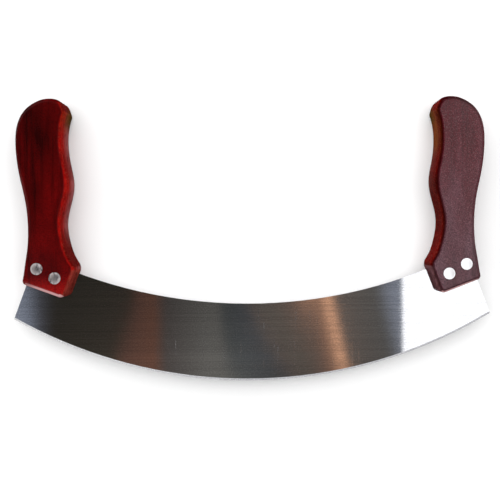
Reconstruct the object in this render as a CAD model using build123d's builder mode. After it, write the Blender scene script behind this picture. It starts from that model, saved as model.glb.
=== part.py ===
"""A mezzaluna: a crescent chopping blade with an upright wooden handle riveted on each end.

It lies on its back. X runs along the blade, Y towards the tops of the handles, Z up through the
thickness. The origin is under the middle of the whole outline, level with the backs of the handles.
"""

import os
from math import cos, radians, sin, sqrt

from build123d import *

# Blade, stamped from flat sheet
blade_length = 254.0
blade_height = 41.1
blade_thickness = 1.5
tip_rise = 34.3
end_length = 35.9
end_lean = 20.4
bevel_width = 1.1
edge_thickness = 0.3

# Handles, each sawn from one board
handle_length = 104.7
handle_width = 30.4
handle_thickness = 20.0
handle_edge_round = 2.2
toe_round = 3.0
heel_round = 2.4
nose_round = 5.0
beak_round = 3.0
blade_seat = 15.6
heel_overhang = 0.8
slot_clearance = 0.05

# Two-part rivets, a post driven into a sleeve
head_diameter = 6.4
head_height = 1.6
head_recess = 0.15
head_rim = 0.5
rim_bevel = 0.15
dish_depth = 0.12
post_diameter = 2.6
sleeve_diameter = 4.0
post_fit = 0.02
hole_clearance = 0.05
post_end_gap = 0.8
sleeve_end_gap = 0.6
rivet_from_end = 4.2
rivet_below_corner = 5.6
rivet_spacing = 10.5
rivet_row_slope = 28.0

# How far a cut runs past what it cuts
overrun = 2.0

# The outline of the right handle in shares of its width, from its innermost point outwards,
# and of its length, from its toe upwards
toe_share = (0.202, 0.0)
heel_share = (0.922, 0.079)
nose_share = (0.0, 0.158)
beak_share = (0.144, 0.927)
top_share = (0.412, 1.0)
outer_side_shares = [
    (0.866, 0.163),
    (0.824, 0.240),
    (0.803, 0.348),
    (0.852, 0.499),
    (0.939, 0.615),
    (1.000, 0.761),
    (0.966, 0.873),
    (0.813, 0.951),
    (0.608, 0.989),
]
crown_share = (0.218, 0.980)
inner_side_shares = [
    (0.217, 0.813),
    (0.187, 0.698),
    (0.121, 0.572),
    (0.172, 0.484),
    (0.240, 0.380),
    (0.197, 0.281),
    (0.114, 0.209),
]

# The right tip and the right upper corner of the blade, from the lowest point of its edge
lean = radians(end_lean)
tip = (blade_length / 2, tip_rise)
corner = (tip[0] - end_length * sin(lean), tip[1] + end_length * cos(lean))

# The spine is an arc through the middle of the blade and both upper corners
spine_sag = corner[1] - blade_height
spine_radius = (corner[0] ** 2 + spine_sag**2) / (2 * spine_sag)


def spine_height(x):
    """Height of the spine at a distance from the middle of the blade."""
    return blade_height + spine_radius - sqrt(spine_radius**2 - x**2)


def from_corner(inward, downward):
    """A place measured from the upper corner, square to the end of the blade and down along it."""
    return (
        corner[0] - inward * cos(lean) + downward * sin(lean),
        corner[1] - inward * sin(lean) - downward * cos(lean),
    )


# The heel of the handle stands a little proud of the blade's end
heel = from_corner(-heel_overhang, blade_seat)


def on_handle(share):
    """A place on the outline of the right handle."""
    return (
        heel[0] + (share[0] - heel_share[0]) * handle_width,
        heel[1] + (share[1] - heel_share[1]) * handle_length,
    )


# The rivet holes on the right
outer_hole = from_corner(rivet_from_end, rivet_below_corner)
row_slope = radians(rivet_row_slope)
inner_hole = (
    outer_hole[0] - rivet_spacing * cos(row_slope),
    outer_hole[1] - rivet_spacing * sin(row_slope),
)


# The saw slot on the right: its floor runs from the spine at the nose of the handle to the corner
nose_x = on_handle(nose_share)[0]
floor_slope = (corner[1] - spine_height(nose_x)) / (corner[0] - nose_x)
slot_ends = (nose_x - overrun, heel[0] + overrun)
slot_floor = [(x, corner[1] + slot_clearance + (x - corner[0]) * floor_slope) for x in slot_ends]
slot_mouth = on_handle(toe_share)[1] - overrun
slot_outline = [*slot_floor, (slot_ends[1], slot_mouth), (slot_ends[0], slot_mouth)]


def on_side(place, side):
    """A place of the right side on either side, 1 for the right and -1 for its mirror image."""
    return (side * place[0], place[1])


# Outlines are drawn from the lowest point of the edge, half the total height below the origin
base_y = -on_handle(top_share)[1] / 2
back_plane = Plane((0, base_y, 0))
blade_plane = back_plane.offset(handle_thickness / 2)
front_plane = back_plane.offset(handle_thickness)

hole_radius = sleeve_diameter / 2 + hole_clearance
head_radius = head_diameter / 2
seat_depth = head_height + head_recess

with BuildPart() as blade:
    with BuildSketch(blade_plane):
        with BuildLine():
            ThreePointArc(on_side(tip, -1), (0, 0), tip)
            Line(tip, corner)
            ThreePointArc(corner, (0, blade_height), on_side(corner, -1))
            Line(on_side(corner, -1), on_side(tip, -1))
        make_face()
    extrude(amount=blade_thickness / 2, both=True)
    # The edge is ground alike from both sides
    bevel_depth = (blade_thickness - edge_thickness) / 2
    for side in (0, -1):
        flat = blade.faces().filter_by(Plane.XY).sort_by(Axis.Z)[side]
        cutting_arc = flat.edges().sort_by(Axis.Y)[0]
        chamfer(cutting_arc, length=bevel_width, length2=bevel_depth, reference=flat)
    with Locations(blade_plane):
        with Locations(*[on_side(hole, side) for hole in (outer_hole, inner_hole) for side in (1, -1)]):
            Hole(hole_radius)


def riveted_handle(side):
    """The handle of one side, 1 for the right and -1 for the left."""
    outline = [on_side(on_handle(share), side) for share in (heel_share, *outer_side_shares, top_share)]
    crown = [on_side(on_handle(share), side) for share in (top_share, crown_share, beak_share)]
    inner_side = [on_side(on_handle(share), side) for share in (beak_share, *inner_side_shares, nose_share)]
    toe = on_side(on_handle(toe_share), side)
    holes = [on_side(hole, side) for hole in (outer_hole, inner_hole)]
    with BuildPart() as handle:
        with BuildSketch(back_plane):
            with BuildLine():
                Line(toe, outline[0])
                Spline(outline, tangents=[on_side((-sin(lean), cos(lean)), side), (-side, 0)])
                Spline(crown, tangents=[(-side, 0), on_side((-sin(lean), -cos(lean)), side)])
                Spline(inner_side)
                Line(inner_side[-1], toe)
            make_face()
        extrude(amount=handle_thickness)
        # The upright corners from the beak down to the toe, then the edges of both faces
        for upright, corner_round in ((3, beak_round), (2, nose_round), (1, heel_round), (0, toe_round)):
            fillet(handle.edges().filter_by(Axis.Z).sort_by(Axis.Y)[upright], corner_round)
        fillet(handle.faces().filter_by(Plane.XY).edges(), handle_edge_round)
        # The slot is sawn straight through the heel, and its floor rests on the blade's spine
        with BuildSketch(blade_plane):
            with BuildLine():
                Polyline(*[on_side(place, side) for place in slot_outline], close=True)
            make_face()
        extrude(amount=blade_thickness / 2 + slot_clearance, both=True, mode=Mode.SUBTRACT)
        # The rivet holes, with a seat for a head at each end
        with Locations(front_plane):
            with Locations(*holes):
                CounterBoreHole(hole_radius, head_radius + hole_clearance, seat_depth)
        with BuildSketch(back_plane):
            with Locations(*holes):
                Circle(head_radius + hole_clearance)
        extrude(amount=seat_depth, mode=Mode.SUBTRACT)
    return handle


def rivet_axis_plane(place):
    """The plane through a rivet's axis in which its profile is drawn, with Z up its axis."""
    return Plane((place[0], base_y + place[1], 0), x_dir=(1, 0, 0), z_dir=(0, -1, 0))


def rivet_post(place):
    """The front half of a rivet: a dished head on a solid shank."""
    face = handle_thickness - head_recess
    seat = face - head_height
    shank_end = seat_depth + post_end_gap
    dish = head_radius - head_rim
    with BuildPart() as post:
        with BuildSketch(rivet_axis_plane(place)):
            with BuildLine():
                TangentArc((0, face - dish_depth), (dish, face), tangent=(1, 0))
                Polyline(
                    (dish, face),
                    (head_radius - rim_bevel, face),
                    (head_radius, face - rim_bevel),
                    (head_radius, seat),
                    (post_diameter / 2, seat),
                    (post_diameter / 2, shank_end),
                    (0, shank_end),
                    (0, face - dish_depth),
                )
            make_face()
        revolve(axis=Axis((place[0], base_y + place[1], 0), (0, 0, 1)))
    return post


def rivet_sleeve(place):
    """The back half of a rivet: a dished head on a tube."""
    face = head_recess
    seat = face + head_height
    tube_end = handle_thickness - seat_depth - sleeve_end_gap
    dish = head_radius - head_rim
    bore = post_diameter / 2 + post_fit
    with BuildPart() as sleeve:
        with BuildSketch(rivet_axis_plane(place)):
            with BuildLine():
                TangentArc((0, face + dish_depth), (dish, face), tangent=(1, 0))
                Polyline(
                    (dish, face),
                    (head_radius - rim_bevel, face),
                    (head_radius, face + rim_bevel),
                    (head_radius, seat),
                    (sleeve_diameter / 2, seat),
                    (sleeve_diameter / 2, tube_end),
                    (bore, tube_end),
                    (bore, seat),
                    (0, seat),
                    (0, face + dish_depth),
                )
            make_face()
        revolve(axis=Axis((place[0], base_y + place[1], 0), (0, 0, 1)))
    return sleeve


pieces = {"blade": blade}
for side, side_name in ((-1, "left"), (1, "right")):
    pieces[f"{side_name}_handle"] = riveted_handle(side)
    for hole, hole_name in ((outer_hole, "outer"), (inner_hole, "inner")):
        place = on_side(hole, side)
        pieces[f"{side_name}_{hole_name}_rivet_post"] = rivet_post(place)
        pieces[f"{side_name}_{hole_name}_rivet_sleeve"] = rivet_sleeve(place)

os.makedirs("parts", exist_ok=True)
for name, piece in pieces.items():
    piece.part.label = name
    export_step(piece.part, f"parts/{name}.step")
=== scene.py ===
"""A mezzaluna lying on a pale table, seen from above."""

from math import pi
from types import SimpleNamespace

import bpy
from mathutils import Matrix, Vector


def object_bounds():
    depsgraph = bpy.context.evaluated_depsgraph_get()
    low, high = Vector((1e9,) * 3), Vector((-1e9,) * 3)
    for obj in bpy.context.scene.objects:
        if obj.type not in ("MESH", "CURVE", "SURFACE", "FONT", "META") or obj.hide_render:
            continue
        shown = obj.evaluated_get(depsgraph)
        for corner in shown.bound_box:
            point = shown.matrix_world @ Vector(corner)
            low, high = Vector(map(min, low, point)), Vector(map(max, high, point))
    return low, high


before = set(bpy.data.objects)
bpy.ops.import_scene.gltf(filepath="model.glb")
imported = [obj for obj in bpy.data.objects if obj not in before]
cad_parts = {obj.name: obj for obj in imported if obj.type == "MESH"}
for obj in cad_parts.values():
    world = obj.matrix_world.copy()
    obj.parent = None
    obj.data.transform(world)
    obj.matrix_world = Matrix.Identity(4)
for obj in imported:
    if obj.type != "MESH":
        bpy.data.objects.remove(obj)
cad_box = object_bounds()

# The blade is one flat crescent stamped from stainless sheet. Both faces are brushed in straight
# lines from tip to tip, so each shows what it mirrors drawn out across those lines.

# The sockets of a Mix node for its share, its two colours and the colour it makes
mix_share, mix_first, mix_second, mix_result = 0, 6, 7, 2


def new_material(name):
    """A new node material, its node tree and its principled shader."""
    material = bpy.data.materials.new(name)
    material.use_nodes = True
    tree = material.node_tree
    return material, tree, tree.nodes["Principled BSDF"]


def fill(tree, node, inputs):
    """Sets each input of a node, by name or number, to a constant, or links it to a socket."""
    for name, given in inputs.items():
        if isinstance(given, bpy.types.NodeSocket):
            tree.links.new(given, node.inputs[name])
        else:
            node.inputs[name].default_value = given


def new_node(tree, kind, inputs):
    """A new node with its inputs filled."""
    node = tree.nodes.new(kind)
    fill(tree, node, inputs)
    return node


def stretched_noise(tree, cells, detail, roughness, seed):
    """Noise over the object's own coordinates, with so many cells to the metre along each axis."""
    place = tree.nodes.new("ShaderNodeTexCoord").outputs["Object"]
    settings = {"Vector": place, "Scale": cells, "Location": (seed, seed, seed)}
    scaled = new_node(tree, "ShaderNodeMapping", settings).outputs["Vector"]
    settings = {"Vector": scaled, "Scale": 1.0, "Detail": detail, "Roughness": roughness}
    return new_node(tree, "ShaderNodeTexNoise", settings).outputs["Fac"]


def spread(tree, value, low, high, to_low=0.0, to_high=1.0):
    """Maps the part of a value between low and high onto a range of its own."""
    settings = {"Value": value, "From Min": low, "From Max": high, "To Min": to_low, "To Max": to_high}
    return new_node(tree, "ShaderNodeMapRange", settings).outputs["Result"]


def blended(tree, share, first, second):
    """Mixes two colours, each a tuple or a socket, by a share that is a number or a socket."""
    mix = tree.nodes.new("ShaderNodeMix")
    mix.data_type = "RGBA"
    fill(tree, mix, {mix_share: share, mix_first: first, mix_second: second})
    return mix.outputs[mix_result]


def arithmetic(tree, operation, first, second):
    """One sum on two values, each a number or a socket."""
    node = new_node(tree, "ShaderNodeMath", {0: first, 1: second})
    node.operation = operation
    return node.outputs["Value"]


def total(tree, first, second):
    """The two values added."""
    return arithmetic(tree, "ADD", first, second)


def product(tree, first, second):
    """The two values multiplied."""
    return arithmetic(tree, "MULTIPLY", first, second)


def unsigned(tree, value):
    """The value without its sign."""
    return arithmetic(tree, "ABSOLUTE", value, 0.0)


def along_axes(tree, kind, output):
    """The X, Y and Z parts of a place, a normal or a direction."""
    source = tree.nodes.new(kind)
    return new_node(tree, "ShaderNodeSeparateXYZ", {"Vector": source.outputs[output]}).outputs


def ridges(tree, height, strength, distance):
    """A normal that follows a height, full strength being that distance in metres."""
    settings = {"Height": height, "Strength": strength, "Distance": distance}
    return new_node(tree, "ShaderNodeBump", settings).outputs["Normal"]


def dress(nodes, material):
    """Gives the material to the CAD nodes of those names."""
    for name in nodes:
        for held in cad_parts[name].material_slots:
            held.material = material


def brushed_steel():
    """Steel with fine and broad brush lines along X, flecks, and a few faint upright smears."""
    material, tree, steel = new_material("brushed_steel")
    fine_lines = stretched_noise(tree, (9, 2400, 40), 2.0, 0.6, 3.1)
    broad_lines = stretched_noise(tree, (4, 420, 10), 2.0, 0.5, 7.7)
    handling = stretched_noise(tree, (800, 22, 40), 3.0, 0.6, 4.6)
    flecks = stretched_noise(tree, (1700, 1500, 900), 1.0, 0.5, 6.3)
    light = (0.79, 0.79, 0.80, 1)
    dark = (0.60, 0.60, 0.61, 1)
    bright = (0.96, 0.96, 0.97, 1)
    line_depth = 0.000003
    lines = blended(tree, spread(tree, fine_lines, 0.35, 0.65), dark, light)
    banded = blended(tree, spread(tree, broad_lines, 0.3, 0.7, 0.0, 0.4), lines, dark)
    flecked = blended(tree, spread(tree, flecks, 0.48, 0.66, 0.0, 0.6), banded, bright)
    # Handling leaves its smears within 6 cm of the middle, where they dull the brushing
    from_middle = unsigned(tree, along_axes(tree, "ShaderNodeTexCoord", "Object")["X"])
    near_middle = spread(tree, from_middle, 0.05, 0.06, 1.0, 0.0)
    smears = product(tree, spread(tree, handling, 0.62, 0.72, 0.0, 0.22), near_middle)
    polish = spread(tree, broad_lines, 0.3, 0.7, 0.045, 0.070)
    along = tree.nodes.new("ShaderNodeTangent")
    along.direction_type = "RADIAL"
    along.axis = "Y"
    # The sheen is drawn out across the lines, a quarter turn from the tangent along X
    settings = {
        "Base Color": flecked,
        "Metallic": 1.0,
        "Roughness": total(tree, polish, smears),
        "Normal": ridges(tree, fine_lines, 1.0, line_depth),
        "Anisotropic": 1.0,
        "Anisotropic Rotation": 0.25,
        "Tangent": along.outputs["Tangent"],
    }
    fill(tree, steel, settings)
    return material


dress(["blade"], brushed_steel())

# The handles are sawn from hardwood board and slotted over the ends of the blade. They are stained
# mahogany red and dipped in gloss lacquer. The grain runs up them, and its open pores show as short
# dark flecks under the lacquer.

near_black = (0.008, 0.0003, 0.0004, 1)
# Painted shade for the inner side over the beak
crown_red = (0.12, 0.0006, 0.0008, 1)
# Painted reflections for the inner side under the beak and at its height
bare_brown = (0.160, 0.036, 0.007, 1)
olive_brown = (0.055, 0.030, 0.002, 1)
worn_pink = (0.50, 0.24, 0.26, 1)
scuffed_orange = (0.50, 0.15, 0.09, 1)
# Painted highlight for the heel's lower edges
rubbed_pink = (0.68, 0.38, 0.38, 1)

# The values of their noise between which pores and streaks come in
pore_limits = (0.45, 0.62)
streak_limits = (0.5, 0.75)
pore_depth = 0.00006

beak_height = 0.066
full_lacquer = 0.68
thin_lacquer = 0.02


def difference(tree, first, second):
    """The first value less the second."""
    return arithmetic(tree, "SUBTRACT", first, second)


def larger(tree, first, second):
    """The larger of the two values."""
    return arithmetic(tree, "MAXIMUM", first, second)


def wood_marks(tree):
    """The marks of the wood and of its use, each a noise."""
    return SimpleNamespace(
        streaks=stretched_noise(tree, (420, 16, 300), 4.0, 0.6, 1.3),
        clouds=stretched_noise(tree, (130, 35, 130), 2.0, 0.5, 5.9),
        pores=stretched_noise(tree, (2100, 1500, 2100), 2.0, 0.7, 9.2),
        dust=stretched_noise(tree, (2200, 1900, 2200), 1.0, 0.5, 8.5),
        patches=stretched_noise(tree, (600, 200, 500), 2.0, 0.6, 4.4),
    )


def spot_on_handle(tree, inward):
    """Where a spot lies and how it faces.

    Its height grows towards the handle's top, and its level up from the table. Its flatness is 1 on
    the faces and 0 on the sides.
    """
    place = along_axes(tree, "ShaderNodeTexCoord", "Object")
    normal = along_axes(tree, "ShaderNodeNewGeometry", "Normal")
    sidelong = unsigned(tree, normal["X"])
    towards_middle = product(tree, normal["X"], inward)
    return SimpleNamespace(
        height=place["Y"],
        level=place["Z"],
        rise=normal["Y"],
        flatness=unsigned(tree, normal["Z"]),
        facing_down=total(tree, normal["Y"], sidelong),
        facing_up=difference(tree, normal["Y"], sidelong),
        towards_middle=towards_middle,
        facing_middle=spread(tree, towards_middle, 0.3, 0.6),
        inside=spread(tree, towards_middle, -0.05, 0.1),
    )


def stained_face(tree, spot, marks, look):
    """The cloudy red of the faces, darker at the top and the heel, going to the side red at its end."""
    lowness = spread(tree, spot.height, 0.05, -0.03)
    hazy = total(tree, lowness, spread(tree, marks.clouds, 0.3, 0.7, -0.35, 0.35))
    face_red = blended(tree, hazy, look.red, look.low_red)
    deep_red = blended(tree, look.figure, face_red, near_black)
    stained = blended(tree, spread(tree, marks.clouds, 0.25, 0.70), deep_red, face_red)
    near_top = spread(tree, spot.height, -0.01, 0.045, 0.0, look.top_shade)
    near_heel = spread(tree, spot.height, 0.004, -0.008, 0.0, look.heel_shade)
    at_heel_end = spread(tree, spot.height, -0.017, -0.025, 0.0, look.thin_stain)
    topped = blended(tree, near_top, stained, near_black)
    heeled = blended(tree, near_heel, topped, near_black)
    return blended(tree, at_heel_end, heeled, look.side_red)


def stained_side(tree, spot, look, face):
    """The tone of the sides: like the face on the outer one, and the side red on the inner one."""
    sanded = blended(tree, spot.inside, face, look.side_red)
    # Painted reflection pales the inner side near the table; painted shade darkens it over the beak
    above_start = spread(tree, spot.height, look.foot_from, look.foot_from + 0.016)
    near_table = product(tree, spot.facing_middle, spread(tree, spot.level, 0.015, 0.002))
    footed = blended(tree, product(tree, above_start, near_table), sanded, look.foot_red)
    over_beak = spread(tree, spot.rise, 0.05, 0.30)
    crowned = blended(tree, product(tree, over_beak, spot.facing_middle), footed, crown_red)
    # Painted reflection: under the beak the side is painted brown, and olive at the beak's own height
    hooked = spread(tree, spot.height, look.brown_from, look.brown_from + 0.010)
    under_beak = product(tree, spot.facing_middle, difference(tree, 1.0, over_beak))
    below_face = spread(tree, spot.level, 0.017, 0.011, 0.3, 1.0)
    browned = product(tree, product(tree, hooked, under_beak), below_face)
    hook_side = blended(tree, browned, crowned, bare_brown)
    from_beak = unsigned(tree, difference(tree, spot.height, beak_height))
    by_beak = spread(tree, from_beak, 0.002, 0.006, 1.0, 0.0)
    at_beak = product(tree, spread(tree, spot.level, 0.013, 0.005), by_beak)
    beaked = blended(tree, product(tree, at_beak, spot.facing_middle), hook_side, olive_brown)
    # Painted reflection: the slant from the nose down to the toe has a colour of its own
    below_nose = spread(tree, spot.height, 0.0, -0.008)
    slanting = product(tree, spread(tree, spot.facing_down, -0.3, 0.0), below_nose)
    under_nose = product(tree, spread(tree, spot.rise, -0.04, -0.20), slanting)
    return blended(tree, under_nose, beaked, look.toe_red)


def grained_wood(tree, spot, marks, look, face, side):
    """The face with pores, dust and streaks, and the side with patches, scuffs and fainter streaks."""
    open_pores = spread(tree, marks.pores, *pore_limits, 0.0, look.open_pores)
    pored = blended(tree, open_pores, face, near_black)
    flecked = blended(tree, spread(tree, marks.dust, 0.52, 0.72, 0.0, look.dusty), pored, worn_pink)
    face_streaks = spread(tree, marks.streaks, *streak_limits, 0.0, look.figure)
    grained_face = blended(tree, face_streaks, flecked, near_black)
    patched = blended(tree, spread(tree, marks.patches, 0.45, 0.65, 0.0, 0.5), side, near_black)
    scuffs = product(tree, spread(tree, marks.dust, 0.56, 0.70, 0.0, 0.25), spot.facing_middle)
    scuffed = blended(tree, scuffs, patched, scuffed_orange)
    side_streaks = spread(tree, marks.streaks, *streak_limits, 0.0, look.figure / 2)
    grained_side = blended(tree, side_streaks, scuffed, near_black)
    # The inner side runs on over its rounding, up to the face
    inner_rounding = product(tree, spread(tree, spot.flatness, 0.99, 0.85), spot.inside)
    upright = larger(tree, inner_rounding, spread(tree, spot.flatness, 0.8, 0.4))
    beside = product(tree, upright, spread(tree, spot.facing_up, 0.0, 0.15, 1.0, 0.0))
    return blended(tree, beside, grained_face, grained_side)


def worn_edges(tree, spot, look, grained):
    """Painted shade on the rounded edges, and a pale painted highlight on the heel's lower edges."""
    # Painted shade: the rounded edges are darkened, most on the top and towards the other handle
    towards_top = product(tree, larger(tree, spot.rise, 0.0), 1.5)
    leaning = total(tree, spot.towards_middle, towards_top)
    gathered = spread(tree, leaning, -0.5, 0.3, 0.0, look.rim_shade)
    below_face = spread(tree, spot.flatness, 0.998, 0.96)
    above_side = spread(tree, spot.flatness, 0.45, 0.80)
    rounding = product(tree, below_face, above_side)
    rimmed = blended(tree, product(tree, gathered, rounding), grained, near_black)
    # Painted highlight: the lower rounded edges of the heel are painted pale pink
    lowest = spread(tree, spot.height, -0.020, -0.024, 0.0, look.worn)
    short_of_face = spread(tree, spot.flatness, look.worn_up_to, look.worn_up_to + 0.15, 1.0, 0.0)
    edge = product(tree, spread(tree, spot.flatness, 0.05, 0.35), short_of_face)
    rubbed = product(tree, spread(tree, spot.facing_down, -0.12, -0.28), product(tree, lowest, edge))
    return blended(tree, rubbed, rimmed, rubbed_pink)


def lacquer_weight(tree, spot, marks, look):
    """How much lacquer there is: it runs on over the outer rim, and thins out before the inner one."""
    facing_out = spread(tree, spot.towards_middle, 0.1, -0.3)
    outer_rim = product(tree, spread(tree, spot.flatness, 0.65, 0.95, 0.0, full_lacquer), facing_out)
    on_face = spread(tree, spot.flatness, look.rim_gloss, 0.99, thin_lacquer, full_lacquer)
    over_pores = spread(tree, marks.pores, *pore_limits, 1.0, 0.75)
    return product(tree, larger(tree, outer_rim, on_face), over_pores)


def lacquered_mahogany(name, look):
    """Stained wood under a gloss lacquer, which is thin on its sanded sides."""
    material, tree, wood = new_material(name)
    marks = wood_marks(tree)
    spot = spot_on_handle(tree, look.inward)
    face = stained_face(tree, spot, marks, look)
    side = stained_side(tree, spot, look, face)
    grained = grained_wood(tree, spot, marks, look, face, side)
    pitted = ridges(tree, marks.pores, 0.25, pore_depth)
    settings = {
        "Base Color": worn_edges(tree, spot, look, grained),
        "Roughness": 0.6,
        "Specular IOR Level": 0.0,
        "Normal": pitted,
        "Coat Weight": lacquer_weight(tree, spot, marks, look),
        "Coat IOR": 1.5,
        "Coat Roughness": 0.12,
        "Coat Normal": pitted,
    }
    fill(tree, wood, settings)
    return material


# What differs between the handles: the way to the other handle along X; the reds of the upper and the
# lower face, of the inner side, of the painted reflection on that side near the table from a height up
# and of the one on the slant under the nose; the height where the painted brown begins; the strength of
# each shade, mark and painted highlight; and how flat the rounding is where that highlight ends and
# where the lacquer begins.
left_look = SimpleNamespace(
    inward=1,
    red=(0.158, 0.0004, 0.0006, 1),
    low_red=(0.158, 0.0004, 0.0006, 1),
    side_red=(0.33, 0.004, 0.003, 1),
    foot_red=(0.30, 0.115, 0.115, 1),
    foot_from=-0.08,
    toe_red=(0.29, 0.032, 0.022, 1),
    brown_from=0.056,
    figure=0.85,
    top_shade=0.45,
    heel_shade=0.25,
    rim_shade=0.0,
    thin_stain=0.8,
    open_pores=0.55,
    dusty=0.0,
    worn=1.0,
    worn_up_to=1.0,
    rim_gloss=0.95,
)
right_look = SimpleNamespace(
    inward=-1,
    red=(0.108, 0.0001, 0.0075, 1),
    # The lower face is greyed towards mauve, a painted sheen over the red
    low_red=(0.105, 0.038, 0.052, 1),
    side_red=(0.072, 0.0004, 0.0004, 1),
    foot_red=(0.13, 0.045, 0.040, 1),
    foot_from=0.022,
    toe_red=(0.14, 0.060, 0.070, 1),
    brown_from=0.041,
    figure=0.5,
    top_shade=0.1,
    heel_shade=0.0,
    rim_shade=0.7,
    thin_stain=0.0,
    open_pores=0.7,
    dusty=0.13,
    worn=0.9,
    worn_up_to=0.72,
    rim_gloss=0.93,
)
dress(["left_handle"], lacquered_mahogany("left_mahogany", left_look))
dress(["right_handle"], lacquered_mahogany("right_mahogany", right_look))

# Each rivet is two pieces of bright aluminium, a post pressed from the front into a sleeve from the
# back. The heads are turned and slightly dished, and sit in seats bored into the wood.

head_recess = 0.00015
dish_depth = 0.00012
dish_dullness = 0.8
middle_level = (cad_box[0][2] + cad_box[1][2]) / 2
rim_from_middle = middle_level - head_recess
dish_from_middle = rim_from_middle - dish_depth


def turned_aluminium(name, bright, dull, shine, roughness):
    """Aluminium painted darker in patches and in the bottom of the dish, a painted reflection."""
    material, tree, metal = new_material(name)
    mottle = stretched_noise(tree, (650, 260, 400), 3.0, 0.6, 2.4)
    mottled = blended(tree, spread(tree, mottle, 0.45, 0.65), bright, dull)
    place = along_axes(tree, "ShaderNodeTexCoord", "Object")
    from_middle = unsigned(tree, difference(tree, place["Z"], middle_level))
    in_dish = spread(tree, from_middle, rim_from_middle, dish_from_middle, 0.0, dish_dullness)
    settings = {
        "Base Color": blended(tree, in_dish, mottled, dull),
        "Metallic": shine,
        "Roughness": spread(tree, mottle, 0.3, 0.7, roughness, roughness + 0.08),
    }
    fill(tree, metal, settings)
    return material


rivets = [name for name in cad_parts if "rivet" in name]
# The left heads carry the painted reflection strongly, the right ones only faintly
dull_aluminium = turned_aluminium(
    "dull_aluminium",
    bright=(1.0, 0.90, 0.89, 1),
    dull=(0.15, 0.14, 0.145, 1),
    shine=0.70,
    roughness=0.20,
)
bright_aluminium = turned_aluminium(
    "bright_aluminium",
    bright=(0.96, 0.96, 0.97, 1),
    dull=(0.90, 0.90, 0.91, 1),
    shine=0.85,
    roughness=0.30,
)
dress([name for name in rivets if "left" in name], dull_aluminium)
dress([name for name in rivets if "right" in name], bright_aluminium)

# The table is a plain pale sheet that keeps the knife's shadow. It is lifted to white only as the
# camera and what is polished see it.

white = (1, 1, 1, 1)
floor_size = 6.0
floor_gap = 0.0001
floor_lift = 0.06


def ray_kinds(tree):
    """Whether a ray comes straight from the camera, and whether it comes from something polished."""
    path = tree.nodes.new("ShaderNodeLightPath").outputs
    return path["Is Camera Ray"], larger(tree, path["Is Glossy Ray"], path["Is Transmission Ray"])


half = floor_size / 2
floor_corners = [(-half, -half, 0), (half, -half, 0), (half, half, 0), (-half, half, 0)]
floor_mesh = bpy.data.meshes.new("floor")
floor_mesh.from_pydata(floor_corners, [], [(0, 1, 2, 3)])
floor = bpy.data.objects.new("floor", floor_mesh)
floor.location.z = -floor_gap
bpy.context.scene.collection.objects.link(floor)
paper, paper_tree, paper_surface = new_material("floor_paper")
plainly_seen = larger(paper_tree, *ray_kinds(paper_tree))
paper_settings = {
    "Base Color": (0.9, 0.9, 0.9, 1),
    "Roughness": 0.9,
    "Specular IOR Level": 0.0,
    "Emission Color": white,
    "Emission Strength": spread(paper_tree, plainly_seen, 0.0, 1.0, 0.0, floor_lift),
}
fill(paper_tree, paper_surface, paper_settings)
floor_mesh.materials.append(paper)

# The studio is an even pale room with a dim ceiling, which the blade and the lacquer mirror, and one
# softbox over the right end.

least_rise = 0.02
least_daylight = 0.05

# What hangs over the table, from left to right, by the slope of the line to it from the middle
ceiling_reach = 0.4
ceiling_bands = [
    (-0.399, (0.60, 0.60, 0.62, 1)),
    (-0.361, (0.30, 0.30, 0.30, 1)),
    (-0.326, (0.40, 0.42, 0.48, 1)),
    (-0.286, (0.26, 0.29, 0.36, 1)),
    (-0.268, (0.07, 0.07, 0.08, 1)),
    (-0.253, (0.030, 0.026, 0.020, 1)),
    (-0.175, (0.040, 0.033, 0.025, 1)),
    (-0.155, (0.105, 0.052, 0.038, 1)),
    (-0.131, (0.13, 0.06, 0.04, 1)),
    (-0.118, (0.07, 0.06, 0.055, 1)),
    (-0.066, (0.12, 0.115, 0.105, 1)),
    (-0.053, (0.12, 0.115, 0.105, 1)),
    (-0.043, (0.065, 0.070, 0.070, 1)),
    (-0.002, (0.072, 0.075, 0.082, 1)),
    (0.006, (0.15, 0.11, 0.09, 1)),
    (0.024, (0.11, 0.10, 0.085, 1)),
    (0.062, (0.15, 0.105, 0.085, 1)),
    (0.078, (0.28, 0.15, 0.10, 1)),
    (0.088, (0.88, 0.47, 0.28, 1)),
    (0.094, (0.74, 0.39, 0.23, 1)),
    (0.097, (0.14, 0.115, 0.10, 1)),
    (0.150, (0.105, 0.100, 0.093, 1)),
    (0.168, (0.23, 0.25, 0.30, 1)),
    (0.354, (0.23, 0.25, 0.30, 1)),
    (0.394, (1.10, 1.10, 1.15, 1)),
]


def room(tree, colour, strength):
    """A background whose colour and strength are each a value or a socket."""
    settings = {"Color": colour, "Strength": strength}
    return new_node(tree, "ShaderNodeBackground", settings).outputs["Background"]


def either(tree, share, first, second):
    """The first background, or the second where the share is 1."""
    return new_node(tree, "ShaderNodeMixShader", {0: share, 1: first, 2: second}).outputs["Shader"]


def banded_ceiling(tree, sideways, upwards):
    """The colour of the ceiling by its slopes to the right and to the handles' tops."""
    # The bands lean one way over the left of the blade and the other way over its right
    lean_left = spread(tree, sideways, -0.28, -0.17, 0.05, -0.35)
    lean_middle = spread(tree, sideways, -0.165, -0.135, 0.0, 0.35)
    lean_right = spread(tree, sideways, -0.06, 0.0, 0.0, 0.6)
    lean_stripe = spread(tree, sideways, 0.050, 0.070, 0.0, -0.38)
    lean = total(tree, total(tree, lean_left, lean_middle), total(tree, lean_right, lean_stripe))
    slanted = total(tree, sideways, product(tree, total(tree, upwards, 0.12), lean))
    along_bands = spread(tree, slanted, -ceiling_reach, ceiling_reach)
    ceiling = new_node(tree, "ShaderNodeValToRGB", {"Fac": along_bands})
    stops = ceiling.color_ramp.elements
    for slope, colour in ceiling_bands:
        stops.new((slope + ceiling_reach) / (2 * ceiling_reach)).color = colour
    # The two stops that a new ramp comes with lie outside the bands
    stops.remove(stops[0])
    stops.remove(stops[-1])
    return ceiling.outputs["Color"]


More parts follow.
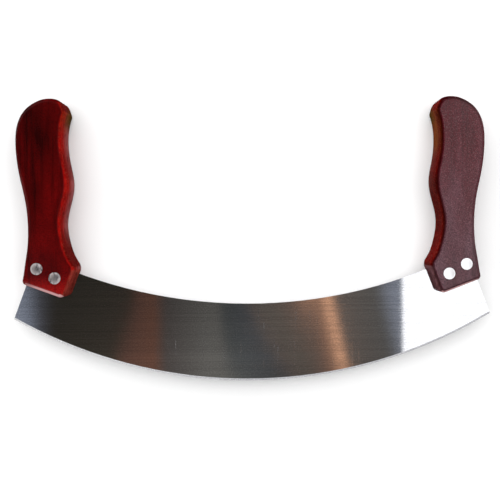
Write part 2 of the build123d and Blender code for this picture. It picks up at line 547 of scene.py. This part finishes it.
def mirrored_room(tree, direction):
    """The colour and the brightness of the room as what is polished mirrors it."""
    rise = larger(tree, direction["Z"], least_rise)
    sideways = arithmetic(tree, "DIVIDE", direction["X"], rise)
    upwards = arithmetic(tree, "DIVIDE", direction["Y"], rise)
    ceiling = banded_ceiling(tree, sideways, upwards)
    to_the_right = spread(tree, direction["X"], 0.0, 0.5)
    walls = blended(tree, to_the_right, (0.35, 0.35, 0.35, 1), (1.1, 1.1, 1.15, 1))
    to_the_left = spread(tree, direction["X"], -0.05, -0.45)
    front_wall = blended(tree, to_the_left, (0.70, 0.70, 0.72, 1), (0.9, 0.9, 0.9, 1))
    around = blended(tree, spread(tree, direction["Z"], 0.1, 0.35), walls, ceiling)
    colour = blended(tree, spread(tree, upwards, -0.5, -0.9), around, front_wall)
    # Nearer the cutting edge the ceiling is brighter over the left, and dimmer over the right
    over_left = spread(tree, upwards, -0.16, -0.10, 1.3, 0.8)
    over_right = spread(tree, upwards, -0.16, -0.07, 0.85, 1.05)
    overhead = blended(tree, spread(tree, sideways, -0.02, 0.02), over_left, over_right)
    brightness = blended(tree, spread(tree, upwards, -0.25, -0.40), overhead, white)
    # It is dark over the left handle, whose red stays deep, and light over the right one
    before_dark = spread(tree, upwards, -0.05, -0.01, 1.0, 0.03)
    behind_dark = spread(tree, upwards, 0.40, 0.60)
    right_of_dark = spread(tree, sideways, 0.1, 0.3)
    undimmed = larger(tree, larger(tree, before_dark, behind_dark), right_of_dark)
    return colour, product(tree, brightness, undimmed)


def daylight(tree, direction):
    """How strongly the room lights the scene: most from above, from behind and from the left."""
    from_above = spread(tree, direction["Z"], 0.0, 1.0, 0.15, 1.55)
    from_behind = product(tree, direction["Y"], 1.35)
    from_left = product(tree, direction["X"], -0.45)
    from_aside = total(tree, from_behind, from_left)
    return larger(tree, total(tree, from_above, from_aside), least_daylight)


world = bpy.data.worlds.new("studio")
bpy.context.scene.world = world
world.use_nodes = True
studio = world.node_tree
studio.nodes.clear()
direction = along_axes(studio, "ShaderNodeTexCoord", "Generated")
from_camera, from_polished = ray_kinds(studio)
lit_room = room(studio, white, daylight(studio, direction))
polished_room = room(studio, *mirrored_room(studio, direction))
seen_room = either(studio, from_polished, lit_room, polished_room)
surroundings = either(studio, from_camera, seen_room, room(studio, white, 1.0))
new_node(studio, "ShaderNodeOutputWorld", {"Surface": surroundings})

softbox_left, softbox_right = 0.232, 0.62
softbox_depth = 0.8
softbox_height = 0.9
softbox_brightness = 1.30
softbox_width = softbox_right - softbox_left
lamp = bpy.data.lights.new("softbox", "AREA")
lamp.shape = "RECTANGLE"
lamp.size = softbox_width
lamp.size_y = softbox_depth
lamp.energy = softbox_brightness * pi * softbox_width * softbox_depth
softbox = bpy.data.objects.new("softbox", lamp)
softbox.location = ((softbox_left + softbox_right) / 2, 0, softbox_height)
bpy.context.scene.collection.objects.link(softbox)

# The camera looks almost straight down, slightly turned, from 45 cm above the table. Its frame sits
# off the lens axis, as in a cropped picture.
camera_place = (0.004564, 0.00224, 0.450)
camera_turn = -0.02714
camera_roll = -0.01098
focal_pixels = 822.04
axis_pixel = (283.82, 235.5)
image_pixels = 500
lens = bpy.data.cameras.new("camera")
lens.sensor_width = 36.0
lens.lens = lens.sensor_width * focal_pixels / image_pixels
lens.shift_x = 0.5 - axis_pixel[0] / image_pixels
lens.shift_y = axis_pixel[1] / image_pixels - 0.5
lens.clip_start = 0.01
camera = bpy.data.objects.new("camera", lens)
bpy.context.scene.collection.objects.link(camera)
turned = Matrix.Rotation(camera_turn, 4, "Y") @ Matrix.Rotation(camera_roll, 4, "Z")
camera.matrix_world = Matrix.Translation(camera_place) @ turned
bpy.context.scene.camera = camera
bpy.context.scene.view_settings.view_transform = "Standard"
